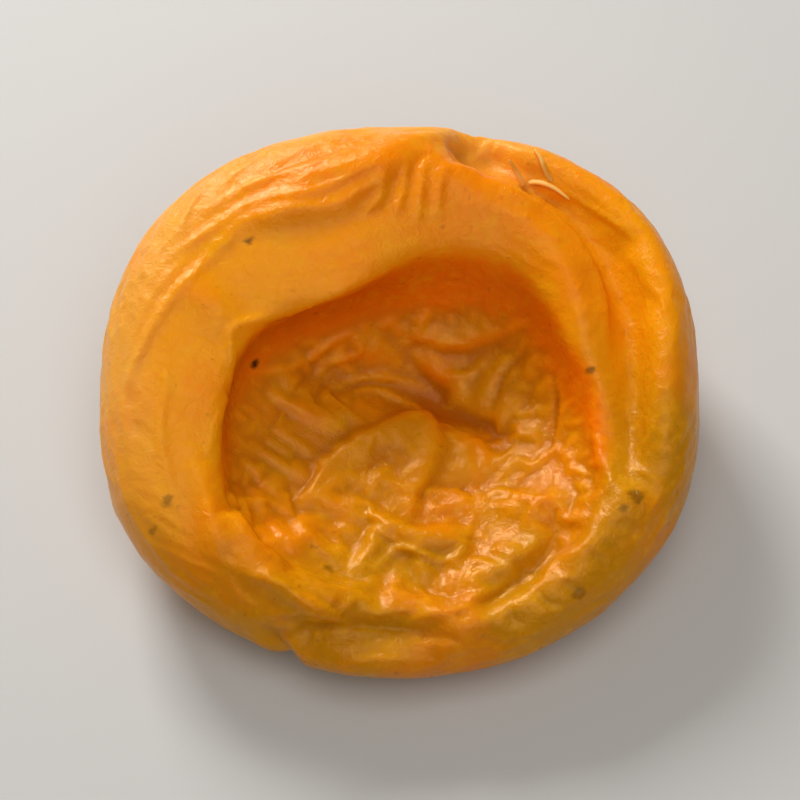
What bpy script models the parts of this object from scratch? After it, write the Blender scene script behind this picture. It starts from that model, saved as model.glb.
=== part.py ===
"""A whole apricot, stoned and dried, as one closed solid.

The fruit has sunk into a thick ring around a dish, where the stone was taken out. The ring is
high on its far side (+Y), where its broad inner slope hangs over the dish floor, and low on its
near side (-Y), where the floor rises into it. The fruit's seam folds the right-hand side (+X)
into two lobes, and it lies on a small flat spot under the middle.

The form is made in three stages: a cage of rings, one around another, is bridged and smoothed;
folds are pressed into the skin along routes given in plan; and the body is set to its size.
Shapes are given in millimetres and the finished mesh is in metres. The frame has +X to the
right, +Y away, +Z up, and its origin at the bottom centre of the fruit's box.
"""

import math
from typing import NamedTuple

import bmesh
import bpy
from mathutils import Vector
from mathutils.bvhtree import BVHTree

# Driving dimensions, in metres.
WIDTH = 0.0450
DEPTH = 0.0425
HEIGHT = 0.0180
FLAT_SPOT_SINK = 0.00035
FLAT_TOLERANCE = 1e-7

MM = 0.001
CAGE_SIDES = 24
SMOOTH_LEVELS = 2
ABOVE = 60.0

SKIN_COLOR = (0.80, 0.33, 0.03, 1.0)
SKIN_ROUGHNESS = 0.38


class Ring(NamedTuple):
    """One closed loop around the fruit: a centre, and evenly spaced stations from +X round.

    Each station is a radius from the centre and a height above the table.
    """

    name: str
    centre: tuple
    stations: tuple


class Fold(NamedTuple):
    """A crease, or a ridge where its depth is negative, along a route on the skin.

    The edges of a crease swell by its edge value, and a route under the fruit is an underside one.
    """

    name: str
    route: tuple
    width: float
    depth: float
    edge: float = 0.0
    underside: bool = False


# From the spot that the fruit lies on, up its outside, over the ring and down into the dish.
RINGS = (
    Ring("sole", (0, -0.4), ((6.2, 0.0),)),
    Ring("underside", (0, -0.3), ((17.6, 1.6), (17.4, 2.3), (17.8, 1.6), (17.4, 0.9))),
    Ring("belly", (0, 0), (
        (22.2, 5.9), (23.0, 6.4), (21.8, 7.0), (20.8, 7.4), (21.6, 7.2), (22.9, 6.8),
        (22.2, 6.2), (23.0, 5.0), (21.7, 3.9), (21.3, 3.4), (22.0, 3.6), (22.8, 4.7))),
    Ring("upper_belly", (0, 0), (
        (22.6, 9.8), (23.6, 10.8), (22.1, 12.0), (20.8, 12.8), (21.8, 12.4), (23.3, 11.4),
        (22.5, 10.2), (23.4, 8.2), (21.8, 6.4), (21.4, 5.4), (22.1, 5.8), (23.0, 7.7))),
    Ring("shoulder", (0, 0), (
        (21.3, 12.4), (22.3, 13.8), (20.4, 15.2), (18.9, 16.4), (20.1, 16.2), (21.7, 14.8),
        (21.3, 13.0), (22.1, 10.7), (20.7, 8.3), (20.4, 7.2), (21.0, 7.8), (21.8, 10.0))),
    Ring("crest", (0, 0), (
        (18.8, 13.6), (19.4, 15.0), (17.6, 16.6), (15.6, 17.8), (16.8, 17.8), (18.6, 16.6),
        (18.7, 14.6), (19.4, 11.6), (18.4, 9.2), (18.6, 8.0), (18.8, 8.6), (19.4, 10.9))),
    Ring("lip", (1, -4), (
        (14.8, 11.2), (13.6, 12.6), (14.6, 14.2), (12.0, 15.2), (9.6, 15.0), (13.2, 14.2),
        (13.8, 12.6), (15.6, 10.0), (14.8, 8.2), (13.2, 7.4), (14.0, 7.8), (15.0, 9.5))),
    Ring("under_lip", (1, -4), (
        (14.2, 10.2), (13.2, 11.4), (14.2, 12.8), (12.1, 14.0), (10.0, 14.0), (13.4, 13.2),
        (14.0, 11.6), (15.0, 9.2), (13.4, 7.7), (11.8, 7.1), (12.4, 7.3), (13.8, 8.6))),
    Ring("throat", (1, -4), (
        (12.8, 8.4), (12.2, 8.8), (12.8, 9.4), (12.0, 11.0), (11.4, 11.8), (13.8, 11.0),
        (14.2, 9.6), (13.6, 8.1), (11.6, 7.3), (10.0, 6.9), (10.4, 7.0), (12.0, 7.6))),
    Ring("dish_edge", (1, -4), (
        (10.2, 6.7), (9.8, 6.4), (10.0, 6.5), (10.2, 7.4), (10.8, 8.5), (11.6, 8.3),
        (11.2, 7.5), (10.0, 7.0), (8.6, 6.8), (7.4, 6.6), (7.6, 6.6), (8.6, 6.7))),
    Ring("dish", (1.6, -2.4), ((5.2, 5.9), (5.4, 5.8), (5.4, 6.8), (4.6, 6.5))),
)

FOLDS = (
    Fold("suture", (
        (4.0, 18.4), (6.5, 16.6), (10.5, 14.6), (13.4, 12.2), (15.6, 9.0), (16.7, 4.4),
        (16.6, 0.0), (16.4, -5.0), (17.6, -10.0)), 1.8, 2.7, 0.6),
    Fold("stem_hollow", ((6.8, 19.0), (6.4, 17.4), (5.6, 15.0)), 2.0, 1.2, 0.2),
    Fold("near_tab", ((-9.0, -19.2), (-4.0, -19.4), (3.0, -19.8)), 1.4, 1.2, 0.4),
    Fold("near_furrow", ((12.6, -11.4), (9.6, -15.0), (5.6, -18.0)), 1.5, 1.0, 0.4),
    Fold("near_left_ridge", ((-13.4, -12.0), (-9.0, -15.0), (-3.0, -18.2)), 1.5, -0.9),
    Fold("far_pleat", ((-11.0, 9.8), (-7.0, 12.6), (-2.0, 14.6), (1.6, 17.6)), 1.4, -0.8),
    Fold("floor_crease", ((-8.0, 1.6), (-1.0, 1.8), (3.8, 0.8), (8.0, -2.6)), 2.0, 0.8, 0.3),
    Fold("seam_below", ((19.0, 7.0), (14.0, 4.4), (10.0, 3.4)), 2.0, 1.0, 0.3, True),
    Fold("left_tuck_below", ((-8.0, 15.0), (-13.6, 8.0), (-14.0, -2.0)), 1.8, 0.8, 0.3, True),
    Fold("right_tuck_below", ((2.0, -16.0), (9.0, -13.0), (14.6, -5.0)), 1.8, 0.8, 0.3, True),
)


def eased(values, place):
    """The value at a fractional place on a smooth closed curve through evenly spaced values."""
    count = len(values)
    first = math.floor(place)
    t = place - first
    a, b, c, d = (values[(first + k) % count] for k in (-1, 0, 1, 2))
    slope_in, slope_out = (c - a) / 2, (d - b) / 2
    rise = c - b
    return b + t * (slope_in + t * (3 * rise - 2 * slope_in - slope_out + t * (slope_in + slope_out - 2 * rise)))


def ring_point(ring, turn):
    """The point on a ring at a turn from +X, where one whole turn is 1."""
    place = turn * len(ring.stations)
    radius = eased([station[0] for station in ring.stations], place)
    height = eased([station[1] for station in ring.stations], place)
    angle = turn * math.tau
    x = ring.centre[0] + radius * math.cos(angle)
    y = ring.centre[1] + radius * math.sin(angle)
    return Vector((x, y, height))


def loop_edges(loop):
    """The edges that join the vertices of one ring."""
    members = set(loop)
    touching = {edge for vert in loop for edge in vert.link_edges}
    return [edge for edge in touching if members.issuperset(edge.verts)]


def facing_quarters(loop):
    """Two facing quarters of a ring's edges, between which a grid of faces fills the ring."""
    quarter = CAGE_SIDES // 4
    return loop_edges(loop[: quarter + 1]) + loop_edges(loop[2 * quarter : 3 * quarter + 1])


def loft_cage():
    """The rings bridged one to the next, with the sole and the dish floor filled."""
    cage = bmesh.new()
    loops = []
    for ring in RINGS:
        made = bmesh.ops.create_circle(cage, segments=CAGE_SIDES, radius=1.0)["verts"]
        for step, vert in enumerate(made):
            vert.co = ring_point(ring, step / CAGE_SIDES)
        loops.append(made)
    for low, high in zip(loops, loops[1:]):
        bmesh.ops.bridge_loops(cage, edges=loop_edges(low) + loop_edges(high))
    for loop in (loops[0], loops[-1]):
        bmesh.ops.grid_fill(cage, edges=facing_quarters(loop))
    bmesh.ops.recalc_face_normals(cage, faces=cage.faces)
    return cage


def subdivided(cage):
    """The cage's smooth surface as a new bmesh, in millimetres."""
    mesh = bpy.data.meshes.new("cage")
    cage.to_mesh(mesh)
    cage.free()
    holder = bpy.data.objects.new("cage", mesh)
    bpy.context.scene.collection.objects.link(holder)
    smooth = holder.modifiers.new("smooth", "SUBSURF")
    smooth.levels = smooth.render_levels = SMOOTH_LEVELS
    body = bmesh.new()
    body.from_object(holder, bpy.context.evaluated_depsgraph_get())
    bpy.data.objects.remove(holder)
    bpy.data.meshes.remove(mesh)
    return body


def distance_to_route(point, route):
    """How far a point is from a chain of straight runs, and how far along the chain, 0 to 1."""
    nearest, along, done = math.inf, 0.0, 0.0
    total = sum((b - a).length for a, b in zip(route, route[1:]))
    for a, b in zip(route, route[1:]):
        run = b - a
        share = min(1.0, max(0.0, (point - a).dot(run) / run.length_squared))
        gap = (point - (a + run * share)).length
        if gap < nearest:
            nearest, along = gap, (done + run.length * share) / total
        done += run.length
    return nearest, along


def press_fold(body, fold):
    """Moves the skin near a fold's route in or out, fading towards the route's two ends."""
    skin = BVHTree.FromBMesh(body)
    side = -1.0 if fold.underside else 1.0
    route = [skin.ray_cast(Vector((x, y, ABOVE * side)), Vector((0, 0, -side)))[0] for x, y in fold.route]
    body.normal_update()
    moves = {}
    for vert in body.verts:
        gap, along = distance_to_route(vert.co, route)
        reach = gap / fold.width
        if reach < 3.5:
            taper = math.sin(math.pi * along) ** 0.6
            swell = fold.edge * math.exp(-((reach - 1.7) ** 2)) - fold.depth * math.exp(-reach * reach)
            moves[vert] = vert.normal * swell * taper
    for vert, move in moves.items():
        vert.co += move


def set_size(body):
    """Flattens the resting spot, and sets the box to the driving dimensions and the origin."""
    low = [min(vert.co[k] for vert in body.verts) for k in range(3)]
    high = [max(vert.co[k] for vert in body.verts) for k in range(3)]
    low[2] += FLAT_SPOT_SINK / MM
    middle = ((low[0] + high[0]) / 2, (low[1] + high[1]) / 2, low[2])
    size = (WIDTH, DEPTH, HEIGHT)
    for vert in body.verts:
        vert.co.z = max(vert.co.z, low[2])
        for k in range(3):
            vert.co[k] = (vert.co[k] - middle[k]) * size[k] / (high[k] - low[k])


def join_flat_spot(body):
    """Makes one face of the flat spot that the fruit lies on."""
    flat = [face for face in body.faces if max(vert.co.z for vert in face.verts) < FLAT_TOLERANCE]
    bmesh.ops.dissolve_faces(body, faces=flat, use_verts=True)


def skin_material():
    """Translucent orange skin, half glossy from its own sugar."""
    material = bpy.data.materials.new("dried_apricot_skin")
    material.use_nodes = True
    shader = material.node_tree.nodes["Principled BSDF"]
    shader.inputs["Base Color"].default_value = SKIN_COLOR
    shader.inputs["Roughness"].default_value = SKIN_ROUGHNESS
    shader.inputs["Metallic"].default_value = 0.0
    return material


def make_apricot():
    """The fruit as one closed mesh object."""
    body = subdivided(loft_cage())
    for fold in FOLDS:
        press_fold(body, fold)
    set_size(body)
    join_flat_spot(body)
    mesh = bpy.data.meshes.new("dried_apricot")
    body.to_mesh(mesh)
    body.free()
    mesh.shade_smooth()
    mesh.materials.append(skin_material())
    apricot = bpy.data.objects.new("dried_apricot", mesh)
    bpy.context.scene.collection.objects.link(apricot)


for leftover in list(bpy.data.objects):
    bpy.data.objects.remove(leftover)
make_apricot()
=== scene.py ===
"""The looks of a whole dried apricot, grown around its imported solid.

The skin is one mesh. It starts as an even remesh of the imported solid, takes the fruit's own
creases and folds, and then wrinkles the way drying skin does: a thin film, too big for the
flesh that shrank under it, settles on that flesh over and over, at ever finer steps. A few
torn fibres stand in the hollow where the stalk was.

Shaping is done in millimetres, in the row frame: +X right, +Y away, +Z up, with the origin
under the middle of the fruit. Finished meshes are scaled to metres.
"""

from __future__ import annotations

import logging
import math
from dataclasses import dataclass, field
from enum import Enum

import bmesh
import bpy
import numpy as np
from mathutils import Matrix, Vector, noise
from mathutils.bvhtree import BVHTree

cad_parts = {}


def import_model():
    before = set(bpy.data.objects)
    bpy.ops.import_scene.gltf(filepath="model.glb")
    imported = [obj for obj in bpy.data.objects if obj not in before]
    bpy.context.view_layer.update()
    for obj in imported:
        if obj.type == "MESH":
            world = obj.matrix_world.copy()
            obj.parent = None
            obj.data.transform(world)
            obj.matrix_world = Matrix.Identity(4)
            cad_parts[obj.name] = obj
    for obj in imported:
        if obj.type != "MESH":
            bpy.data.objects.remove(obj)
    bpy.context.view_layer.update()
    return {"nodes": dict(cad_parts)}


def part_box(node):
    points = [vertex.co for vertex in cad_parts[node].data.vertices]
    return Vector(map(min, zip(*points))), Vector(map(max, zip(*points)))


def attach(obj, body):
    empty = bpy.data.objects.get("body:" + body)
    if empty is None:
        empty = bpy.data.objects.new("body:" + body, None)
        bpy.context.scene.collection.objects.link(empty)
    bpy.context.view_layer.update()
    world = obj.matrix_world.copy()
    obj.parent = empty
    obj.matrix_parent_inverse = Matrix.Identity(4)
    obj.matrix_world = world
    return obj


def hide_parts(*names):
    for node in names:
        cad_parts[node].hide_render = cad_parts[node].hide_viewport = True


LOG = logging.getLogger("dried_apricot")
MM = 0.001
NODE = "dried_apricot"
BODY = "root"


# Shader expressions


class Value:
    """A number that varies over a surface, which adds Math nodes as it is reckoned with."""

    def __init__(self, paint: Paint, socket: bpy.types.NodeSocket) -> None:
        """Wraps a socket of a material, the output that carries the number."""
        self.paint = paint
        self.socket = socket

    def _math(self, operation: str, *terms: Value | float, clamp: bool = False) -> Value:
        """One Math node.

        Args:
            operation: The node's operation.
            terms: Its inputs in order, as values or plain numbers.
            clamp: Whether the result is held between 0 and 1.

        Returns:
            The node's result.
        """
        settings = {"operation": operation, "use_clamp": clamp}
        node = self.paint.add("ShaderNodeMath", settings, dict(enumerate(terms)))
        return Value(self.paint, node.outputs[0])

    def __add__(self, other: Value | float) -> Value:
        """This value plus another."""
        return self._math("ADD", self, other)

    def __radd__(self, other: float) -> Value:
        """A number plus this value."""
        return self._math("ADD", other, self)

    def __sub__(self, other: Value | float) -> Value:
        """This value less another."""
        return self._math("SUBTRACT", self, other)

    def __mul__(self, other: Value | float) -> Value:
        """This value times another."""
        return self._math("MULTIPLY", self, other)

    def held(self) -> Value:
        """This value, held between 0 and 1."""
        return self._math("ADD", self, 0.0, clamp=True)

    def between(self, low: float, high: float) -> Value:
        """A smooth step.

        Args:
            low: Where the step starts, at 0.
            high: Where it ends, at 1.

        Returns:
            The step's height.
        """
        inputs = {"Value": self, "From Min": low, "From Max": high}
        node = self.paint.add("ShaderNodeMapRange", {"interpolation_type": "SMOOTHSTEP"}, inputs)
        return Value(self.paint, node.outputs["Result"])


class Paint:
    """One material's node tree, and the few ways that nodes are added to it."""

    def __init__(self, name: str) -> None:
        """Starts a material with an empty tree.

        Args:
            name: The material's name.
        """
        self.material = bpy.data.materials.new(name)
        self.material.use_nodes = True
        self.tree = self.material.node_tree
        self.tree.nodes.clear()

    def add(
        self, kind: str, settings: dict | None = None, inputs: dict | None = None
    ) -> bpy.types.Node:
        """Adds a node.

        Args:
            kind: The node's type.
            settings: Its properties, set first.
            inputs: What goes into its sockets, by name or number.

        Returns:
            The node.
        """
        node = self.tree.nodes.new(kind)
        for name, setting in (settings or {}).items():
            setattr(node, name, setting)
        for name, source in (inputs or {}).items():
            socket = node.inputs[name]
            if isinstance(source, Value):
                source = source.socket
            if isinstance(source, bpy.types.NodeSocket):
                self.tree.links.new(source, socket)
            else:
                socket.default_value = source
        return node

    def here(self) -> bpy.types.NodeSocket:
        """Object coordinates in millimetres."""
        place = self.add("ShaderNodeTexCoord").outputs["Object"]
        inputs = {"Vector": place, "Scale": (1.0 / MM,) * 3}
        return self.add("ShaderNodeMapping", None, inputs).outputs[0]

    def attribute(self, name: str) -> Value:
        """A number kept on the mesh's points under a name."""
        return Value(self, self.add("ShaderNodeAttribute", {"attribute_name": name}).outputs["Fac"])

    def noise(
        self, size: float, detail: float, rough: float = 0.5, distortion: float = 0.0
    ) -> Value:
        """Cloudy noise from 0 to 1.

        Args:
            size: The width of its clouds, in millimetres.
            detail: How many finer layers it has.
            rough: How strong the finer layers are.
            distortion: How far the clouds are bent.

        Returns:
            The noise.
        """
        inputs = {"Vector": self.here(), "Scale": 1.0 / size, "Detail": detail}
        inputs |= {"Roughness": rough, "Distortion": distortion}
        return Value(self, self.add("ShaderNodeTexNoise", None, inputs).outputs["Fac"])

    def mix(self, share: Value, first: object, second: object) -> bpy.types.NodeSocket:
        """Two colours mixed.

        Args:
            share: How much of the second, from 0 to 1.
            first: The first colour, or a socket that carries it.
            second: The second one.

        Returns:
            The mixed colour.
        """
        settings = {"data_type": "RGBA", "clamp_factor": True}
        sources = {0: share, 6: self._color(first), 7: self._color(second)}
        return self.add("ShaderNodeMix", settings, sources).outputs[2]

    def _color(self, source: object) -> object:
        """A colour with its alpha, or the socket as it is."""
        return (*source, 1.0) if isinstance(source, tuple) else source

    def finish(
        self, inputs: dict, strength: float = 0.0, height: Value | None = None
    ) -> bpy.types.Material:
        """Closes the tree with a Principled shader.

        Args:
            inputs: What goes into the shader's sockets.
            strength: How strongly the height shows as bump.
            height: The bump's height in millimetres, or None.

        Returns:
            The finished material.
        """
        if height is not None:
            sources = {"Height": height, "Distance": MM, "Strength": strength}
            inputs = inputs | {"Normal": self.add("ShaderNodeBump", None, sources).outputs[0]}
        shader = self.add("ShaderNodeBsdfPrincipled", None, inputs)
        self.add("ShaderNodeOutputMaterial", None, {"Surface": shader.outputs[0]})
        return self.material


# Form


class Side(Enum):
    """A direction that a route is drawn from, as azimuth and elevation in degrees."""

    FRONT_HIGH = (0.0, 60.0)
    FRONT_LOW = (0.0, 15.0)

    def axes(self) -> tuple[Vector, Vector, Vector]:
        """The right, up and backward directions of someone who looks from this side."""
        turn, rise = (math.radians(angle) for angle in self.value)
        flat = math.cos(rise)
        back = Vector((math.sin(turn) * flat, -math.cos(turn) * flat, math.sin(rise)))
        right = Vector((math.cos(turn), math.sin(turn), 0.0))
        return right, back.cross(right), back


class Part(Enum):
    """A region of the skin."""

    OUTSIDE = "outside"
    SLOPE = "slope"
    WALL = "wall"
    FLOOR = "floor"
    NEAR_FLOOR = "near_floor"
    UNDER = "under"


@dataclass(frozen=True)
class Crease:
    """A crease in the skin, or a ridge where its depth is negative.

    The route is drawn as seen from one side, in millimetres right of and above the middle of
    that view. Past one, steep narrows the crease's side on the right of its route, and step
    lifts that side above the other, as where one fold of skin laps over the next.
    """

    name: str
    route: tuple
    width: float
    depth: float
    edge: float = 0.0
    steep: float = 1.0
    sharp: float = 0.0
    step: float = 0.0
    side: Side = Side.FRONT_HIGH


@dataclass(frozen=True)
class Speck:
    """A small dark blemish, placed as a crease's points are."""

    place: tuple
    radius: float
    dark: float


def scatter(index: np.ndarray, values: np.ndarray, count: int) -> np.ndarray:
    """Sums of three-number rows of values, each added to the row that its index names."""
    return np.stack([np.bincount(index, values[:, k], count) for k in range(3)], axis=1)


def lengths(rows: np.ndarray) -> np.ndarray:
    """The length of each row."""
    return np.sqrt(np.einsum("ij,ij->i", rows, rows))


def smooth_step(values: np.ndarray, low: float, high: float) -> np.ndarray:
    """Rises smoothly from 0 at low to 1 at high, which may be the lower of the two."""
    t = np.clip((values - low) / (high - low), 0.0, 1.0)
    return t * t * (3.0 - 2.0 * t)


def clouds(points: np.ndarray, size: float, seed: float) -> np.ndarray:
    """Smooth noise at points, about -1 to 1, in clouds of a size in millimetres."""
    shift = Vector((seed * 17.1, seed * 5.3, seed * 9.7))
    return np.array([noise.noise(Vector(point) / size + shift) for point in points])


class Skin:
    """The skin as arrays while it is shaped, in millimetres."""

    relax_share: float = 0.5
    regrow: float = 1.03
    spread_share: float = 0.8
    blur_share: float = 0.9

    def __init__(self, mesh: bpy.types.Mesh) -> None:
        """Reads a mesh whose faces all have four sides.

        Args:
            mesh: The mesh, in millimetres.
        """
        count = len(mesh.vertices)
        flat = np.empty(count * 3, np.float32)
        mesh.vertices.foreach_get("co", flat)
        self.points = flat.reshape(-1, 3).astype(float)
        corners = np.empty(len(mesh.loops), np.int32)
        mesh.loops.foreach_get("vertex_index", corners)
        self.quads = corners.reshape(-1, 4)
        rims = np.vstack([self.quads[:, (k, (k + 1) % 4)] for k in range(4)])
        self.edges = np.unique(np.sort(rims, axis=1), axis=0)
        self.braces = np.vstack([self.quads[:, (0, 2)], self.quads[:, (1, 3)]])
        ends = np.bincount(self.edges.ravel(), minlength=count)
        self.neighbours = ends.astype(float)[:, None]

    def normals(self) -> np.ndarray:
        """The outward direction at each point."""
        a, b, c, d = (self.points[self.quads[:, k]] for k in range(4))
        facing = np.cross(c - a, d - b)
        total = sum(scatter(self.quads[:, k], facing, len(self.points)) for k in range(4))
        return total / lengths(total)[:, None]

    def lean(self, values: np.ndarray) -> np.ndarray:
        """How far the mean of each point's neighbours is from the point's own value."""
        i, j = self.edges.T
        count = len(self.points)
        total = scatter(i, values[j], count) + scatter(j, values[i], count)
        return total / self.neighbours - values

    def relax(self, passes: int) -> None:
        """Smooths the surface without shrinking it much.

        Args:
            passes: How many times.
        """
        for _ in range(passes):
            self.points += self.relax_share * self.lean(self.points)
            self.points -= self.regrow * self.relax_share * self.lean(self.points)

    def spread(self, values: np.ndarray, passes: int) -> np.ndarray:
        """Blurs one number per point.

        Args:
            values: The numbers.
            passes: How many times.

        Returns:
            The blurred numbers.
        """
        wide = np.repeat(values[:, None], 3, axis=1)
        for _ in range(passes):
            wide = wide + self.spread_share * self.lean(wide)
        return wide[:, 0]

    def hollows(self, passes: int) -> np.ndarray:
        """How deep each point lies in a hollow, or how far it stands up, in millimetres.

        Args:
            passes: How widely the surface around a point is blurred to compare with.

        Returns:
            Depths, negative on ridges.
        """
        blurred = self.points.copy()
        for _ in range(passes):
            blurred += self.blur_share * self.lean(blurred)
        return np.einsum("ij,ij->i", blurred - self.points, self.normals())

    def tree(self) -> BVHTree:
        """The surface as a search tree."""
        return BVHTree.FromPolygons(self.points.tolist(), self.quads.tolist())


@dataclass
class Shape:
    """Where the fruit's regions lie: its ring's core, its lip, and its stalk end."""

    core_radius: float = 16.8
    core_height: float = 7.1
    core_tilt: float = 2.1
    core_squeeze: float = 0.6
    lip_centre: tuple = (1.0, -4.0)
    # Radius from the lip's centre and height, every 30 degrees from +X.
    lip_stations: tuple = (
        (14.8, 11.2), (13.6, 12.6), (14.6, 14.2), (12.0, 15.2), (9.6, 15.0), (13.2, 14.2),
        (13.8, 12.6), (15.6, 10.0), (14.8, 8.2), (13.2, 7.4), (14.0, 7.8), (15.0, 9.5),
    )
    stalk_end: tuple = (5.5, 18.6, 12.0)
    stalk_reach: float = 8.0
    lip_samples: int = 97
    # Where each region starts and where it is full: turns about the core in degrees, slopes as
    # the upward part of the outward direction, and the rest in millimetres.
    dish_past_lip: tuple = (-0.2, 1.2)
    outside_rise: tuple = (88.0, 62.0)
    under_rise: tuple = (-38.0, -75.0)
    near_y: tuple = (-2.0, -9.0)
    near_slope: float = 0.2
    level_slope: tuple = (0.4, 0.8)
    level_height: tuple = (11.0, 8.5)
    low_rim_y: tuple = (-10.0, -14.0)
    low_rim_slope: tuple = (0.35, 0.8)
    low_rim_x: tuple = (-12.0, -6.0)
    low_rim_share: float = 0.6

    def around_core(self, points: np.ndarray) -> tuple[np.ndarray, np.ndarray, np.ndarray]:
        """Where points lie about the ring's core.

        Args:
            points: The points.

        Returns:
            The turn about +Z, the turn about the core with 0 outward and 90 up, in degrees, and
            the distance from the core.
        """
        turn = np.arctan2(points[:, 1], points[:, 0])
        core = self.core_radius - self.core_squeeze * np.sin(turn)
        out = np.hypot(points[:, 0], points[:, 1]) - core
        up = points[:, 2] - (self.core_height + self.core_tilt * np.sin(turn))
        return np.degrees(turn), np.degrees(np.arctan2(up, out)), np.hypot(out, up)

    def lip_line(self) -> np.ndarray:
        """The lip as closely spaced points."""
        stations = np.array(self.lip_stations + self.lip_stations[:1])
        places = np.linspace(0.0, len(self.lip_stations), self.lip_samples)
        steps = range(len(stations))
        radius, height = (np.interp(places, steps, stations[:, k]) for k in range(2))
        angle = places * math.tau / len(self.lip_stations)
        x = self.lip_centre[0] + radius * np.cos(angle)
        y = self.lip_centre[1] + radius * np.sin(angle)
        return np.stack([x, y, height], axis=1)

    def flow(self, points: np.ndarray, normals: np.ndarray) -> np.ndarray:
        """The way that wrinkles run: along the ring, and straight out from the stalk near it.

        Args:
            points: The skin's points.
            normals: Their outward directions.

        Returns:
            A direction in the skin for each point.
        """
        stalk = np.array(self.stalk_end)
        away = points - stalk
        gap = lengths(away)
        turn = np.arctan2(points[:, 1], points[:, 0])
        sign = np.sign(np.sin(turn - math.atan2(stalk[1], stalk[0])) + 1e-9)
        around = np.stack([-np.sin(turn) * sign, np.cos(turn) * sign, np.zeros(len(turn))], axis=1)
        near = np.exp(-((gap / self.stalk_reach) ** 2))
        way = around * (1 - near)[:, None] + away * (near / np.maximum(gap, 1e-6))[:, None]
        way -= normals * np.einsum("ij,ij->i", way, normals)[:, None]
        return way / np.maximum(lengths(way), 1e-6)[:, None]

    def regions(self, points: np.ndarray, normals: np.ndarray) -> dict[Part, np.ndarray]:
        """How much each point belongs to each region.

        Args:
            points: The skin's points.
            normals: Their outward directions.

        Returns:
            For each region, a share for each point; the shares of a point add up to 1.
        """
        turn, rise, gap = self.around_core(points)
        rise = np.where((rise < -90.0) & (normals[:, 2] > 0.0), rise + 360.0, rise)
        lip_turn, lip_rise, _ = self.around_core(self.lip_line())
        order = np.argsort(lip_turn)
        edge = np.interp(turn, lip_turn[order], lip_rise[order], period=360.0)
        past_lip = np.radians(rise - edge) * gap
        dish = smooth_step(past_lip, *self.dish_past_lip)
        outside = smooth_step(rise, *self.outside_rise)
        under = smooth_step(rise, *self.under_rise)
        near = smooth_step(points[:, 1], *self.near_y)
        level = smooth_step(normals[:, 2] + self.near_slope * near, *self.level_slope)
        level *= smooth_step(points[:, 2], *self.level_height)
        low_rim = smooth_step(points[:, 1], *self.low_rim_y)
        low_rim *= smooth_step(normals[:, 2], *self.low_rim_slope)
        low_rim *= self.low_rim_share * smooth_step(points[:, 0], *self.low_rim_x) * (1 - dish)
        shares = {
            Part.FLOOR: dish * level * (1 - near),
            Part.NEAR_FLOOR: dish * level * near + low_rim,
            Part.WALL: dish * (1 - level),
            Part.OUTSIDE: outside * (1 - under) * (1 - low_rim),
            Part.UNDER: under,
        }
        shares[Part.SLOPE] = np.clip(1.0 - sum(shares.values()), 0.0, 1.0)
        return shares


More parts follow.
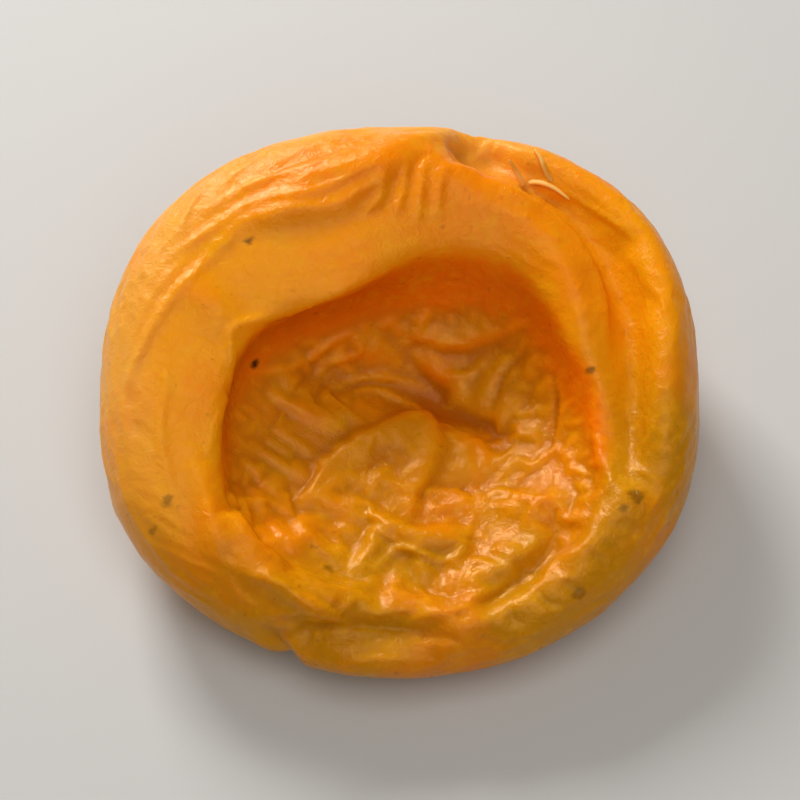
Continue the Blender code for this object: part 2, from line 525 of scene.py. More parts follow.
@dataclass(frozen=True)
class Film:
    """A stage of drying: how much too big the skin is, and how it settles.

    Bulk is how much too big it is, for each region, and girth how much too big it is across the
    ring only, which gives wrinkles that run around the ring. Grain is how far bulk goes one way
    in each patch. The flesh under the skin gives way by inward and outward.
    """

    bulk: dict
    girth: dict
    bend: float
    hold: float
    steps: int
    seed: int
    patch: float = 9.0
    grain: float = 0.8
    inward: float = 1.0
    outward: float = 1.0
    stiff: float = 0.15
    carry: float = 0.92
    pace: float = 0.6
    jitter: float = 0.12
    jitter_blur: int = 3
    # Bulk and girth vary from patch to patch by this mean and swing, up to this most.
    patch_mean: float = 0.85
    patch_swing: float = 1.5
    patch_most: float = 2.0
    grain_patch: float = 0.7
    stalk_gather: float = 7.0

    def growth(self, skin: Skin, shape: Shape, normals: np.ndarray) -> np.ndarray:
        """How much too long each spring is.

        Args:
            skin: The skin.
            shape: Where its regions and stalk end are.
            normals: The skin's outward directions.

        Returns:
            A share of each spring's length.
        """
        shares = shape.regions(skin.points, normals)
        swing = self.patch_swing * clouds(skin.points, self.patch, self.seed)
        uneven = np.clip(self.patch_mean + swing, 0.0, self.patch_most)
        bulk, girth = (
            sum(extra.get(part, 0.0) * share for part, share in shares.items()) * uneven
            for extra in (self.bulk, self.girth)
        )
        across = np.cross(normals, shape.flow(skin.points, normals))
        size = self.patch * self.grain_patch
        grain = [clouds(skin.points, size, self.seed + k) for k in (2.0, 4.0, 6.0)]
        grain = np.stack(grain, axis=1)
        grain -= normals * np.einsum("ij,ij->i", grain, normals)[:, None]
        grain /= np.maximum(lengths(grain), 1e-6)[:, None]
        gap = lengths(skin.points - np.array(shape.stalk_end))
        near_stalk = 1.0 + np.exp(-((gap / self.stalk_gather) ** 2))
        i, j = np.vstack([skin.edges, skin.braces]).T
        span = skin.points[j] - skin.points[i]
        span /= lengths(span)[:, None]
        with_grain = np.einsum("ij,ij->i", span, grain[i]) ** 2
        along = np.einsum("ij,ij->i", span, across[i]) ** 2
        loose = 1.0 - self.grain + 2.0 * self.grain * with_grain
        return (bulk[i] + bulk[j]) / 2 * loose + along * (girth * near_stalk)[i]

    def settle(self, skin: Skin, shape: Shape) -> None:
        """Lets the skin buckle into wrinkles.

        Args:
            skin: The skin, which is moved.
            shape: Where its regions are.
        """
        start = skin.points.copy()
        normals = skin.normals()
        i, j = np.vstack([skin.edges, skin.braces]).T
        rest = lengths(start[j] - start[i]) * (1.0 + self.growth(skin, shape, normals))
        # Braces at half strength make the film equally stiff in every direction.
        stiff = np.repeat((self.stiff, self.stiff / 2), (len(skin.edges), len(skin.braces)))
        draw = np.random.default_rng(self.seed).normal(size=len(start))
        points = start + normals * (self.jitter * skin.spread(draw, self.jitter_blur))[:, None]
        level = skin.lean(start)
        speed = np.zeros_like(points)
        for _ in range(self.steps):
            span = points[j] - points[i]
            size = lengths(span)
            pull = span * (stiff * (size - rest) / size)[:, None]
            force = scatter(i, pull, len(points)) - scatter(j, pull, len(points))
            force -= self.bend * skin.lean(skin.lean(points) - level)
            moved = points - start
            height = np.einsum("ij,ij->i", moved, normals)
            firm = np.where(height > 0.0, self.outward, self.inward)
            force -= self.hold * (moved + normals * (height * (firm - 1.0))[:, None])
            speed = self.carry * speed + force
            points = points + self.pace * speed
        skin.points = points


class Carver:
    """Presses creases and ridges into a skin along their routes."""

    mid_height: float = 9.0
    far_off: float = 80.0
    spacing: float = 0.5
    least_gap: float = 0.6
    reach: float = 3.5
    # The profile across a crease, in widths from its route.
    sharp_fall: float = 1.6
    edge_place: float = 1.7
    lap_rise: float = 2.2
    lap_fall: float = 0.4
    lap_end: tuple = (3.4, 1.4)
    # How a crease fades at its ends, on skin that faces away, and unevenly along its route.
    end_power: float = 0.55
    facing_away: tuple = (-0.1, 0.45)
    uneven: float = 0.25
    uneven_size: float = 2.6
    uneven_seed: float = 3.0

    def __init__(self, skin: Skin, view_rise: float) -> None:
        """Takes the skin as it now is.

        Args:
            skin: The skin to carve.
            view_rise: How far up each slanting view the fruit's middle appears.
        """
        self.skin = skin
        self.view_rise = view_rise
        self.tree = skin.tree()

    def land(self, place: tuple, side: Side) -> tuple[Vector, Vector] | None:
        """Where a point of a view meets the skin.

        Args:
            place: The point, right of and above the view's middle.
            side: The view.

        Returns:
            The point on the skin and its outward direction, or None past the skin's outline.
        """
        right, up, back = side.axes()
        rise = self.view_rise if side is Side.FRONT_HIGH else up.z * self.mid_height
        origin = right * place[0] + up * (place[1] + rise) + back * self.far_off
        hit, normal, _, _ = self.tree.ray_cast(origin, -back)
        return (hit, normal) if hit is not None else None

    def route(self, crease: Crease) -> tuple[np.ndarray, np.ndarray]:
        """A crease's route laid on the skin.

        Args:
            crease: The crease.

        Returns:
            Closely spaced points, and the skin's outward direction at each.
        """
        corners = np.array(crease.route, float)
        padded = np.vstack([2 * corners[0] - corners[1], corners, 2 * corners[-1] - corners[-2]])
        landed = []
        for k in range(1, len(padded) - 2):
            a, b, c, d = padded[k - 1 : k + 3]
            stride = self.spacing / max(self.least_gap, float(np.linalg.norm(c - b)))
            for t in np.arange(0.0, 1.0, stride):
                turn = (2 * a - 5 * b + 4 * c - d) * t * t + (3 * b - a - 3 * c + d) * t**3
                landed.append(self.land(tuple(b + ((c - a) * t + turn) / 2), crease.side))
        landed.append(self.land(tuple(corners[-1]), crease.side))
        found = [hit for hit in landed if hit is not None]
        return np.array([hit[0] for hit in found]), np.array([hit[1] for hit in found])

    def press(self, crease: Crease) -> None:
        """Moves the skin in or out along a crease.

        Args:
            crease: The crease.
        """
        line, facing = self.route(crease)
        if len(line) < 3:
            LOG.warning("crease %s misses the skin", crease.name)
            return
        reach = crease.width * self.reach
        points = self.skin.points
        low, high = line.min(axis=0) - reach, line.max(axis=0) + reach
        near = np.flatnonzero(np.all((points > low) & (points < high), axis=1))
        gaps = np.linalg.norm(points[near, None] - line[None], axis=2)
        nearest = gaps.argmin(axis=1)
        gap = gaps.min(axis=1)
        normals = self.skin.normals()[near]
        ahead = np.gradient(line, axis=0)
        aside = np.cross(ahead, facing)[nearest]
        over = np.einsum("ij,ij->i", aside, points[near] - line[nearest])
        gap = gap * np.where(over > 0.0, crease.steep, 1.0) / crease.width
        along = nearest / (len(line) - 1)
        fade = np.sin(np.pi * np.clip(along, 0.02, 0.98)) ** self.end_power
        alike = np.einsum("ij,ij->i", normals, facing[nearest])
        fade *= smooth_step(alike, *self.facing_away)
        fade *= 1.0 + self.uneven * clouds(points[near], self.uneven_size, self.uneven_seed)
        profile = (1 - crease.sharp) * np.exp(-gap * gap)
        profile += crease.sharp * np.exp(-self.sharp_fall * gap)
        swell = crease.edge * np.exp(-((gap - self.edge_place) ** 2)) - crease.depth * profile
        lap = np.tanh(self.lap_rise * gap * np.sign(over)) * np.exp(-self.lap_fall * gap)
        swell += crease.step * (lap * smooth_step(gap, *self.lap_end))
        points[near] += normals * (swell * fade)[:, None]


def mesh_of(skin: Skin, name: str, scale: float = 1.0) -> bpy.types.Mesh:
    """A mesh made from a skin's points and faces.

    Args:
        skin: The skin.
        name: The mesh's name.
        scale: What its points are multiplied by.

    Returns:
        The mesh.
    """
    mesh = bpy.data.meshes.new(name)
    mesh.from_pydata((skin.points * scale).tolist(), [], skin.quads.tolist())
    return mesh


def through_modifier(mesh: bpy.types.Mesh, kind: str, **settings: object) -> bpy.types.Mesh:
    """A mesh as one modifier leaves it.

    Args:
        mesh: The mesh, which is used up.
        kind: The modifier's type.
        settings: Its settings.

    Returns:
        The new mesh.
    """
    holder = bpy.data.objects.new("holder", mesh)
    bpy.context.scene.collection.objects.link(holder)
    modifier = holder.modifiers.new(kind.lower(), kind)
    for key, setting in settings.items():
        setattr(modifier, key, setting)
    evaluated = holder.evaluated_get(bpy.context.evaluated_depsgraph_get())
    made = bpy.data.meshes.new_from_object(evaluated)
    bpy.data.objects.remove(holder)
    bpy.data.meshes.remove(mesh)
    return made


def show(mesh: bpy.types.Mesh, material: bpy.types.Material) -> bpy.types.Object:
    """Puts a finished mesh into the scene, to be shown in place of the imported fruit.

    Args:
        mesh: The mesh, in metres, whose name the object takes.
        material: Its material.

    Returns:
        The object.
    """
    mesh.shade_smooth()
    mesh.materials.append(material)
    piece = bpy.data.objects.new(mesh.name, mesh)
    bpy.context.scene.collection.objects.link(piece)
    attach(piece, BODY)
    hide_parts(NODE)
    return piece


# Finishes


@dataclass(frozen=True)
class SkinFinish:
    """Sticky, half translucent dried skin: yellow on the ring and amber in the dish, with a painted
    sheen on the upper-left outside, painted shade on the near side, under the far lip and in the
    hollows, and deep orange on the dish walls that is partly their own and partly painted shade and
    glow.
    """

    yellow: tuple = (0.94, 0.33, 0.001)
    # Golden: the near side's own yellower tone, made darker there as painted shade.
    golden: tuple = (0.60, 0.245, 0.001)
    straw: tuple = (0.93, 0.42, 0.004)
    # Painted sheen: the colour of the upper-left outside where the light from behind glances on it.
    sheen_peach: tuple = (0.84, 0.39, 0.055)
    # Deep orange: a tone of the fruit in the blotches, and on the walls and far slope partly
    # painted shade and glow.
    deep: tuple = (0.97, 0.20, 0.001)
    amber: tuple = (0.70, 0.255, 0.001)
    # Painted shade for the hollows and creases.
    crease_shade: tuple = (0.46, 0.10, 0.001)
    brown: tuple = (0.045, 0.010, 0.001)
    gloss: float = 0.22
    crinkle: float = 0.7
    translucence: float = 0.6
    glow: tuple = (1.0, 0.34, 0.08)
    glow_depth: float = 0.0015
    shine: tuple = (1.0, 0.62, 0.30)

    def make(self) -> bpy.types.Material:
        """Builds the material."""
        paint = Paint("dried_apricot_skin")
        dish = paint.attribute("dish")
        pale = paint.attribute("pale")
        hollow = paint.attribute("hollow")
        wide = paint.noise(7.0, 3.0)
        fine = paint.noise(1.1, 4.0, 0.6)
        # The ring's broad colours, then the dish inside it.
        # Painted shade: the near side, which the light from behind reaches less, takes the darker
        # golden.
        ring = paint.mix(paint.attribute("near"), self.yellow, self.golden)
        # Painted shade: the slope under the far lip is mixed towards deep orange.
        ring = paint.mix(paint.attribute("far") * 0.45, ring, self.deep)
        # Painted sheen on the upper-left outside, in clouds.
        ring = paint.mix((pale * (wide * 1.2 + 0.2)).held(), ring, self.sheen_peach)
        # The dish walls' deep orange is partly the flesh's own colour and partly painted shade and
        # glow of light through the flesh under the lip.
        inside = paint.mix(paint.attribute("floor"), self.deep, self.amber)
        color = paint.mix(dish, ring, inside)
        # Blotches, from wide to fine, painted shade in the hollows, and the specks.
        color = paint.mix(wide.between(0.42, 0.7) * 0.35, color, self.deep)
        color = paint.mix(paint.noise(2.6, 4.0, 0.6).between(0.5, 0.7) * 0.25, color, self.straw)
        # Painted shade in the hollows, strongest in the dish.
        color = paint.mix((hollow * (0.25 + dish * 0.65)).held(), color, self.crease_shade)
        color = paint.mix(fine.between(0.5, 0.75) * 0.3, color, self.straw)
        color = paint.mix(paint.noise(0.7, 2.0).between(0.66, 0.8) * 0.25, color, self.brown)
        color = paint.mix(paint.attribute("speck"), color, self.brown)
        rough = self.gloss + paint.attribute("outside") * 0.09 + pale * 0.06 + (fine - 0.5) * 0.2
        height = paint.noise(0.8, 5.0, 0.62, distortion=0.8) * 0.16 + paint.noise(0.16, 2.0) * 0.02
        inputs = {
            "Base Color": color,
            "Roughness": rough,
            "Subsurface Weight": self.translucence,
            "Subsurface Radius": self.glow,
            "Subsurface Scale": self.glow_depth,
            "Specular IOR Level": 0.45,
            "Specular Tint": (*self.shine, 1.0),
            "IOR": 1.46,
        }
        return paint.finish(inputs, self.crinkle, height)


@dataclass(frozen=True)
class FibreFinish:
    """Pale dry fibre."""

    straw: tuple = (0.92, 0.46, 0.08)
    tip: tuple = (0.80, 0.33, 0.02)

    def make(self) -> bpy.types.Material:
        """Builds the material."""
        paint = Paint("dry_fibre")
        color = paint.mix(paint.noise(1.4, 2.0).between(0.4, 0.7), self.straw, self.tip)
        inputs = {"Base Color": color, "Roughness": 0.55, "Subsurface Weight": 0.3}
        inputs |= {"Subsurface Radius": (1.0, 0.6, 0.3), "Subsurface Scale": 0.0006}
        return paint.finish(inputs)


@dataclass(frozen=True)
class FloorFinish:
    """Plain pale matt surface."""

    pale: tuple = (0.60, 0.59, 0.57)

    def make(self) -> bpy.types.Material:
        """Builds the material."""
        paint = Paint("pale_floor")
        return paint.finish({"Base Color": (*self.pale, 1.0), "Roughness": 0.75})


# Sub-assemblies

BROAD_FOLDS = (
    Crease("near_left_fold", ((-11.4, -12.0), (-8.8, -12.9), (-7.0, -13.9), (-5.2, -15.1),
        (-3.2, -16.4)), 0.8,
           -0.45, step=0.40),
    Crease("left_upright_fold", ((-15.0, -4.5), (-13.8, -8.4), (-13.0, -12.0)), 0.8, -0.35),
    Crease("near_left_swell", ((-12.6, -8.4), (-9.4, -10.2), (-5.6, -10.4)), 1.6, -0.5),
    Crease("near_middle_swell", ((-2.6, -9.4), (1.6, -10.4), (4.8, -9.6)), 1.5, -0.5),
    Crease("near_right_swell", ((6.4, -8.0), (9.4, -8.0), (12.6, -7.6)), 1.4, -0.5),
    Crease("near_right_furrow", ((11.6, -9.8), (10.4, -11.6), (8.2, -13.3),
        (6.2, -14.9)), 0.7, 0.30, 0.2, sharp=0.5),
    Crease("near_right_ridge", ((14.6, -9.8), (11.8, -11.8), (10.0, -13.9), (7.0, -15.6),
        (4.2, -16.5)), 0.8, -0.35),
    Crease("far_ridge", ((-13.0, 11.8), (-11.4, 13.2), (-7.8, 14.0), (-5.0, 14.2), (-2.0, 16.2),
        (0.4, 18.0)), 0.8,
           -0.25, step=-0.15),
    Crease("seam_floor", ((4.6, 18.6), (8.0, 17.0), (10.5, 15.8), (13.0, 14.0), (15.0, 11.5),
        (16.3, 8.5),
                          (16.6, 6.0), (16.4, 2.0), (16.2, -2.0)), 1.1, -0.25),
    Crease("stalk_hollow", ((3.6, 19.4), (6.6, 18.6), (9.0, 17.6), (11.4, 16.4)), 1.3, 0.9),
    Crease("seam_lap", ((5.0, 17.9), (8.4, 16.3), (11.8, 14.1), (14.2, 11.2), (15.5, 8.0),
        (15.8, 4.0)), 0.6, -0.15, step=0.5),
    Crease("tab_step", ((-9.4, -17.5), (-5.3, -17.0), (-1.6, -17.0),
        (2.4, -17.3)), 0.8, 0.0, step=0.40),
    Crease("tab_swell", ((-6.6, -18.6), (-2.0, -19.0), (2.4, -19.0)), 1.2, -0.4),
    Crease("tab_notch", ((-9.6, -7.0), (-8.2, -9.4), (-7.4, -11.4),
        (-6.6, -13.4)), 0.8, 0.9, 0.2, sharp=0.4,
           side=Side.FRONT_LOW),
    Crease("floor_main", ((0.6, 3.8), (1.9, 2.1), (3.5, 0.7), (4.2, -0.4), (6.2, -1.4),
        (8.4, -2.3)), 0.9, 0.15, step=-0.35),
    Crease("floor_flap", ((-7.5, -8.1), (-6.1, -5.1), (-4.9, -3.8), (-2.0, -2.0), (0.5, -1.0),
        (2.4, -1.2),
                          (3.0, -3.2), (2.4, -5.4), (1.2, -7.8)), 0.9, 0.0, step=0.38),
    Crease("wall_foot", ((0.2, 5.0), (3.3, 4.0), (5.7, 4.2), (8.0, 5.0)), 0.9, 0.0, step=-0.30),
    Crease("lip_corner", ((-12.2, 5.2), (-14.2, 7.2), (-16.0, 9.0)), 1.3, -0.3),
    Crease("right_fold", ((14.4, 1.0), (14.4, -2.6), (15.0, -5.6),
        (16.4, -8.0)), 0.8, -0.15, step=-0.25),
)

# Shorter and narrower than the folds, as a route, a width and a depth.
SMALL_CREASES = (
    ("lip_edge", ((-13.9, -3.6), (-12.9, 0.0), (-12.4, 3.0), (-12.3, 5.3), (-8.2, 6.5),
        (-4.2, 8.2), (-1.2, 9.5)), 0.45, -0.30),
    ("stalk_slit", ((8.8, 16.7), (10.6, 15.9), (12.6, 14.7)), 0.45, 0.70),
    ("seam_lip", ((5.0, 17.6), (8.6, 15.9), (12.0, 13.6), (14.2, 10.8), (15.4, 7.6),
        (15.6, 4.0)), 0.45, -0.10),
    ("pleat_a", ((-2.6, 14.0), (-1.5, 15.3), (-1.2, 17.2)), 0.42, -0.42),
    ("pleat_b", ((-0.3, 13.9), (0.2, 15.7), (0.6, 18.0)), 0.38, -0.40),
    ("pleat_c", ((1.4, 13.6), (1.6, 15.6), (1.9, 18.2)), 0.36, -0.38),
    ("pleat_d", ((2.9, 13.8), (3.0, 15.6), (3.4, 17.6)), 0.36, -0.26),
    ("rim_line_a", ((-14.6, 14.2), (-11.5, 16.1), (-7.5, 17.5), (-3.6, 18.9)), 0.36, -0.24),
    ("rim_line_b", ((-12.4, 14.3), (-9.4, 15.3), (-6.0, 15.8), (-2.4, 17.6)), 0.34, -0.26),
    ("rim_line_c", ((-17.8, 10.2), (-14.4, 12.6), (-11.6, 14.6)), 0.36, -0.22),
    ("rim_line_d", ((-20.2, 3.0), (-18.6, 7.4), (-16.0, 10.6)), 0.40, -0.20),
    ("left_crest", ((-19.6, -5.0), (-20.2, -0.6), (-19.4, 3.1), (-17.6, 6.6), (-15.4, 9.4),
        (-12.9, 11.8)), 0.60, -0.30),
    ("lobe_line", ((12.6, 16.0), (15.6, 14.0), (17.6, 12.4)), 0.34, -0.22),
    ("arc_a", ((-11.0, 2.1), (-8.7, 2.3), (-6.9, 3.1), (-5.3, 4.3), (-3.8, 5.0)), 0.36, -0.34),
    ("arc_b", ((-5.8, 2.8), (-4.2, 3.1), (-3.0, 3.8), (-3.3, 5.0)), 0.32, -0.28),
    ("arc_c", ((-5.2, 1.0), (-2.6, 1.7), (-1.0, 1.7), (1.6, 1.0)), 0.36, -0.36),
    ("arc_d", ((-3.8, 0.5), (-1.8, 0.7), (0.0, 0.0), (1.4, -0.6)), 0.34, -0.34),
    ("arc_e", ((-7.0, -0.2), (-5.7, -1.0), (-4.6, -1.9)), 0.32, -0.24),
    ("facet_a", ((3.2, 1.8), (5.3, 1.9), (6.8, 3.2)), 0.36, -0.34),
    ("crease_a", ((7.4, -0.2), (8.0, 1.9), (9.4, 3.3)), 0.36, 0.34),
    ("facet_b", ((8.6, -1.3), (10.6, -0.9)), 0.34, -0.28),
    ("facet_c", ((8.0, -3.1), (9.2, -2.8), (10.4, -2.7)), 0.30, -0.30),
    ("crease_b", ((11.2, -4.0), (11.7, -2.0), (11.9, 0.0), (11.6, 1.8)), 0.36, 0.32),
    ("pit_ridge", ((4.5, -3.9), (5.9, -3.2), (6.5, -5.2)), 0.36, -0.36),
    ("crease_c", ((2.6, -6.4), (4.9, -6.7), (5.9, -8.6)), 0.34, 0.34),
    ("facet_d", ((6.0, -8.2), (7.2, -6.9), (9.4, -7.3), (12.0, -7.4)), 0.38, -0.34),
    ("facet_e", ((7.4, -6.0), (9.0, -4.7), (10.0, -5.1), (11.8, -3.8), (12.9, -5.2)), 0.36, -0.26),
    ("near_arc_a", ((-12.6, -7.8), (-9.9, -7.6), (-7.8, -8.8)), 0.36, -0.34),
    ("near_arc_b", ((-6.3, -9.1), (-4.8, -10.1), (-4.2, -11.9)), 0.34, -0.32),
    ("near_arc_c", ((-4.0, -8.7), (-1.4, -8.7)), 0.32, -0.26),
    ("near_arc_d", ((-1.3, -6.0), (0.0, -6.5), (1.4, -6.6)), 0.32, -0.28),
    ("near_zigzag", ((-3.2, -12.8), (-1.3, -12.1), (0.2, -11.0), (3.0, -11.9), (4.5, -11.4),
        (5.4, -8.8)), 0.36, -0.38),
    ("near_arc_e", ((2.0, -6.6), (2.5, -8.1), (4.8, -7.7)), 0.32, -0.30),
    ("near_low_a", ((0.4, -16.2), (2.2, -15.6), (4.8, -15.2)), 0.36, -0.34),
    ("near_low_b", ((4.2, -14.5), (6.5, -14.1), (8.2, -13.0)), 0.34, -0.30),
    ("near_left_line", ((-8.0, -12.9), (-5.6, -14.3), (-3.4, -15.9)), 0.34, 0.36),
    ("tab_line", ((-7.8, -17.3), (-5.3, -16.9), (-2.2, -16.9), (1.2, -17.1)), 0.34, -0.40),
    ("tab_crease", ((-4.6, -18.6), (-1.6, -18.2), (1.8, -18.6)), 0.40, 0.20),
    ("left_line_a", ((-21.0, -3.0), (-20.0, -7.6), (-17.4, -11.6)), 0.40, -0.14),
    ("left_line_b", ((-17.2, 2.4), (-17.6, -2.6), (-16.4, -7.6)), 0.45, -0.12),
    ("left_low", ((-12.6, -12.6), (-11.9, -14.0), (-10.6, -14.8)), 0.34, -0.20),
    ("right_low", ((16.6, -5.0), (18.0, -5.4), (19.2, -6.4)), 0.34, -0.26),
)

SPECKS = (
    Speck((-11.0, 2.7), 0.45, 1.0),
    Speck((-11.3, 12.0), 0.40, 0.75),
    Speck((17.3, -7.0), 0.75, 0.6),
    Speck((16.4, -7.9), 0.45, 0.5),
    Speck((13.0, -14.0), 0.65, 0.45),
    Speck((-16.9, -7.3), 0.50, 0.5),
    Speck((-18.0, -9.5), 0.45, 0.45),
    Speck((-5.2, -12.4), 0.35, 0.5),
    Speck((14.2, 2.2), 0.35, 0.6),
)


@dataclass
class Apricot:
    """The fruit: its form, its wrinkles and the marks on its skin."""

    shape: Shape = field(default_factory=Shape)
    finish: SkinFinish = field(default_factory=SkinFinish)
    cell: float = 0.55
    grid_turn: float = 31.0
    view_rise: float = 3.9
    flat_below: float = 0.0
    surface: Carver | None = None
    broad: Film = Film(
        bulk={Part.FLOOR: 0.018, Part.NEAR_FLOOR: 0.028, Part.OUTSIDE: 0.008, Part.UNDER: 0.02},
        girth={Part.SLOPE: 0.003, Part.OUTSIDE: 0.02, Part.UNDER: 0.03},
        bend=0.022, hold=0.0003, steps=380, seed=11,
    )
    close: Film = Film(
        bulk={Part.FLOOR: 0.020, Part.NEAR_FLOOR: 0.036, Part.WALL: 0.003, Part.OUTSIDE: 0.004,
              Part.UNDER: 0.014},
        girth={Part.SLOPE: 0.006, Part.OUTSIDE: 0.024, Part.UNDER: 0.02},
        bend=0.0035, hold=0.0014, steps=240, seed=23, patch=6.0, inward=1.8, outward=0.7,
    )
    fine: Film = Film(
        bulk={Part.FLOOR: 0.022, Part.NEAR_FLOOR: 0.034, Part.WALL: 0.010, Part.SLOPE: 0.006,
              Part.OUTSIDE: 0.008, Part.UNDER: 0.012},
        girth={Part.SLOPE: 0.010, Part.OUTSIDE: 0.028, Part.UNDER: 0.015},
        bend=0.011, hold=0.0025, steps=160, seed=37, patch=4.0, inward=1.6, outward=0.8,
    )

    def build(self, solid: bpy.types.Object) -> bpy.types.Object:
        """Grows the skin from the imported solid.

        Args:
            solid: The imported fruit, which is only read.

        Returns:
            The fruit as shown.
        """
        skin = Skin(self._even_mesh(solid))
        skin.relax(6)
        self._carve(skin, BROAD_FOLDS)
        LOG.info("even skin: %d points", len(skin.points))
        self.broad.settle(skin, self.shape)
        self.close.settle(skin, self.shape)
        mesh = through_modifier(mesh_of(skin, "skin"), "SUBSURF", levels=1, render_levels=1)
        skin = Skin(mesh)
        bpy.data.meshes.remove(mesh)
        self._carve(skin, [Crease(*row, steep=1.4, sharp=0.5) for row in SMALL_CREASES])
        self.fine.settle(skin, self.shape)
        skin.relax(2)
        skin.points[:, 2] = np.maximum(skin.points[:, 2], self.flat_below)
        LOG.info("fine skin: %d points", len(skin.points))
        self.surface = Carver(skin, self.view_rise)
        return self._dress(skin)

    def _even_mesh(self, solid: bpy.types.Object) -> bpy.types.Mesh:
        """The solid's surface in even square faces.

        Args:
            solid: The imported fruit.

        Returns:
            The mesh, in millimetres.
        """
        copy = bmesh.new()
        copy.from_mesh(solid.data)
        bmesh.ops.remove_doubles(copy, verts=copy.verts, dist=1e-7)
        bmesh.ops.scale(copy, verts=copy.verts, vec=Vector((1, 1, 1)) / MM)
        mesh = bpy.data.meshes.new("copy")
        copy.to_mesh(mesh)
        copy.free()
        turn = Matrix.Rotation(math.radians(self.grid_turn), 4, "Z")
        mesh.transform(turn)
        mesh = through_modifier(mesh, "REMESH", mode="VOXEL", voxel_size=self.cell, adaptivity=0.0)
        mesh.transform(turn.inverted())
        return mesh

    def _carve(self, skin: Skin, creases: tuple | list) -> None:
        """Presses creases in.

        Args:
            skin: The skin, which is moved.
            creases: The creases.
        """
        carver = Carver(skin, self.view_rise)
        for crease in creases:
            carver.press(crease)

    def _marks(self, skin: Skin) -> dict[str, np.ndarray]:
        """What the finish reads from the skin.

        Args:
            skin: The finished skin.

        Returns:
            Each attribute's name and its number for each point.
        """
        normals = skin.normals()
        shares = self.shape.regions(skin.points, normals)
        speck = np.zeros(len(skin.points))
        ragged = 0.25 * clouds(skin.points, 0.45, 8.0)
        for spot in SPECKS:
            landed = self.surface.land(spot.place, Side.FRONT_HIGH)
            if landed is None:
                continue
            gap = lengths(skin.points - np.array(landed[0])) + ragged
            dark = spot.dark * smooth_step(gap, spot.radius, spot.radius * 0.5)
            speck = np.maximum(speck, dark)
        x, y, _ = skin.points.T
        dish = sum(shares[part] for part in (Part.FLOOR, Part.NEAR_FLOOR, Part.WALL))
        fades = smooth_step(y + 1.5 * clouds(skin.points, 3.0, 5.0), -14.0, -4.0)
        dish = skin.spread(dish, 3) * fades
        outside = skin.spread(shares[Part.OUTSIDE] + shares[Part.UNDER], 8)
        return {
            "dish": dish,
            "outside": outside,
            "floor": skin.spread(shares[Part.FLOOR] + shares[Part.NEAR_FLOOR], 14),
            # Painted shade darkening the near side, in golden of its own yellower tone.
            "near": smooth_step(y - 0.35 * x, 0.0, -13.0),
            # Painted shade on the slope under the far lip.
            "far": skin.spread(shares[Part.SLOPE], 8) * smooth_step(y + 0.3 * x, 5.0, 14.0),
            # Painted sheen on the upper-left outside.
            "pale": outside * smooth_step(y - x, -2.0, 20.0),
            # Painted shade: how deep each point lies in a hollow.
            "hollow": np.clip(skin.hollows(30) * 3.0, 0.0, 1.0),
            "speck": speck,
        }

    def _dress(self, skin: Skin) -> bpy.types.Object:
        """Makes the shown object, with its marks and its finish.

        Args:
            skin: The finished skin.

        Returns:
            The object, in metres.
        """
        mesh = mesh_of(skin, "apricot_skin", MM)
        for name, values in self._marks(skin).items():
            mark = mesh.attributes.new(name, "FLOAT", "POINT")
            mark.data.foreach_set("value", values.astype(np.float32))
        return show(mesh, self.finish.make())


@dataclass
class StalkFibres:
    """Torn fibres that stand in the hollow where the stalk was, as one mesh.

    Each has a root, placed as a crease's points are, and the rest of its middle line, in
    millimetres from the root: right, away and up.
    """

    finish: FibreFinish = field(default_factory=FibreFinish)
    sides: int = 8
    breadth: float = 0.30
    thickness: float = 0.18
    sunk: float = 0.45
    narrowing: float = 0.62
    smooth_levels: int = 2
    strands: tuple = (
        ((9.6, 16.5), ((-0.4, 0.4, 0.6), (-0.8, 0.9, 1.2), (-1.3, 1.2, 1.9))),
        ((11.6, 16.9), ((-0.5, 0.6, 0.5), (-0.7, 1.4, 0.9), (-1.3, 2.3, 1.0))),
        ((10.0, 16.8), ((0.9, -0.3, 0.5), (2.0, -1.0, 0.6), (3.1, -1.9, 0.2))),
    )

    def build(self, surface: Carver) -> bpy.types.Object:
        """Makes the fibres.

        Args:
            surface: The finished skin, which the roots are set in.

        Returns:
            The fibres, in metres.
        """
        made = bmesh.new()
        for root, rest in self.strands:
            landed = surface.land(root, Side.FRONT_HIGH)
            if landed is not None:
                foot, normal = landed
                line = [foot - normal * self.sunk, foot] + [foot + Vector(step) for step in rest]
                self._strand(made, line)
        bmesh.ops.scale(made, verts=made.verts, vec=Vector((MM, MM, MM)))
        bmesh.ops.recalc_face_normals(made, faces=made.faces)
        mesh = bpy.data.meshes.new("stalk_fibres")
        made.to_mesh(mesh)
        made.free()
        piece = show(mesh, self.finish.make())
        smooth = piece.modifiers.new("smooth", "SUBSURF")
        smooth.levels = smooth.render_levels = self.smooth_levels
        return piece

    def _strand(self, made: bmesh.types.BMesh, line: list[Vector]) -> None:
        """Adds one tapering strap around its middle line.

        Args:
            made: The mesh it is added to.
            line: The middle line, root first.
        """
        rims = []
        for k, middle in enumerate(line):
            ahead = line[min(k + 1, len(line) - 1)] - line[max(k - 1, 0)]
            taper = 1.0 - self.narrowing * (k / (len(line) - 1)) ** 2
            turned = ahead.to_track_quat("Z", "Y").to_matrix().to_4x4()
            ends = k in (0, len(line) - 1)
            rim = bmesh.ops.create_circle(
                made, cap_ends=ends, segments=self.sides, radius=taper
            )["verts"]
            bmesh.ops.scale(made, verts=rim, vec=Vector((self.breadth, self.thickness, 1.0)))
            bmesh.ops.transform(made, matrix=turned, verts=rim)
            bmesh.ops.translate(made, verts=rim, vec=middle)
            touching = {edge for vert in rim for edge in vert.link_edges}
            rims.append([edge for edge in touching if set(edge.verts) <= set(rim)])
        for low, high in zip(rims, rims[1:]):
            bmesh.ops.bridge_loops(made, edges=low + high)


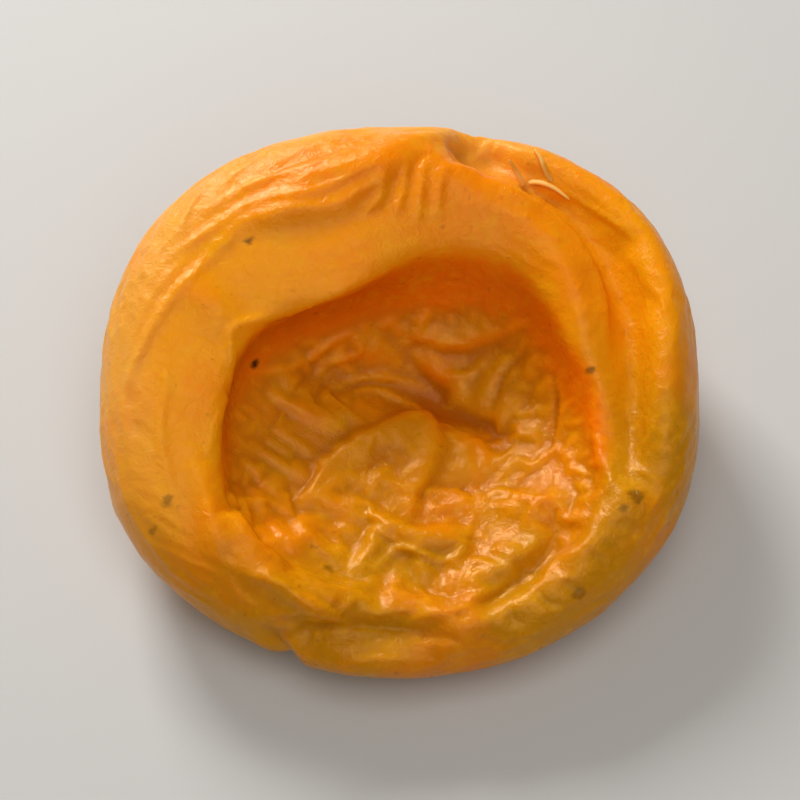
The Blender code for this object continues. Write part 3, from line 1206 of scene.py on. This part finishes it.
@dataclass
class Studio:
    """Pale floor, soft lights and the camera."""

    middle: Vector
    reach: float
    elevation: float = 60.0
    lens: float = 110.0
    fill: float = 0.74
    floor_size: float = 3.0
    drop: float = 0.0012
    sky: tuple = (1.0, 0.92, 0.80)
    sky_strength: float = 0.17
    lights: tuple = (
        ("window", (-0.13, 0.26, 0.20), 0.12, 1.08),
        ("overhead", (0.02, -0.06, 0.42), 0.26, 0.50),
        ("front_fill", (0.08, -0.26, 0.34), 0.26, 0.30),
    )

    def build(self) -> None:
        """Adds the floor, the lights, the world and the camera."""
        self._floor()
        for name, place, size, power in self.lights:
            self._light(name, Vector(place), size, power)
        self._world()
        self._camera()

    def _floor(self) -> None:
        """A wide plain floor at the fruit's lowest point."""
        plane = bmesh.new()
        bmesh.ops.create_grid(plane, x_segments=1, y_segments=1, size=self.floor_size)
        mesh = bpy.data.meshes.new("floor")
        plane.to_mesh(mesh)
        plane.free()
        mesh.materials.append(FloorFinish().make())
        floor = bpy.data.objects.new("floor", mesh)
        bpy.context.scene.collection.objects.link(floor)

    def _light(self, name: str, place: Vector, size: float, power: float) -> None:
        """A square soft light that faces the fruit.

        Args:
            name: The light's name.
            place: Where it is, in metres.
            size: Its side, in metres.
            power: Its power, in watts.
        """
        lamp = bpy.data.lights.new(name, "AREA")
        lamp.size = size
        lamp.energy = power
        light = bpy.data.objects.new(name, lamp)
        light.location = place
        light.rotation_euler = (self.middle - place).to_track_quat("-Z", "Y").to_euler()
        bpy.context.scene.collection.objects.link(light)

    def _world(self) -> None:
        """Dim even light from all round."""
        world = bpy.data.worlds.new("studio")
        world.use_nodes = True
        background = world.node_tree.nodes["Background"]
        background.inputs["Color"].default_value = (*self.sky, 1.0)
        background.inputs["Strength"].default_value = self.sky_strength
        bpy.context.scene.world = world
        bpy.context.scene.view_settings.view_transform = "Standard"

    def _camera(self) -> None:
        """A long lens, level across, from the front and high up."""
        data = bpy.data.cameras.new("camera")
        data.lens = self.lens
        half_angle = math.atan(data.sensor_width / 2 / self.lens)
        distance = self.reach / self.fill / math.tan(half_angle)
        rise = math.radians(self.elevation)
        back = Vector((0.0, -math.cos(rise), math.sin(rise)))
        camera = bpy.data.objects.new("camera", data)
        camera.location = self.middle + back * distance - Vector((0.0, 0.0, self.drop))
        camera.rotation_euler = back.to_track_quat("Z", "Y").to_euler()
        data.clip_start = distance * 0.05
        bpy.context.scene.collection.objects.link(camera)
        bpy.context.scene.camera = camera


def main() -> None:
    """Builds the fruit and the studio."""
    logging.basicConfig(level=logging.INFO, format="%(message)s")
    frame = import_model()
    low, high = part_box(NODE)
    middle = (low + high) / 2
    Studio(middle=middle, reach=(high.x - low.x) / 2).build()
    LOG.info("studio: floor, lights and camera")
    apricot = Apricot()
    skin = apricot.build(frame["nodes"][NODE])
    LOG.info("%s: %d faces", skin.name, len(skin.data.polygons))
    fibres = StalkFibres().build(apricot.surface)
    LOG.info("%s: %d faces", fibres.name, len(fibres.data.polygons))


if __name__ == "__main__":
    main()
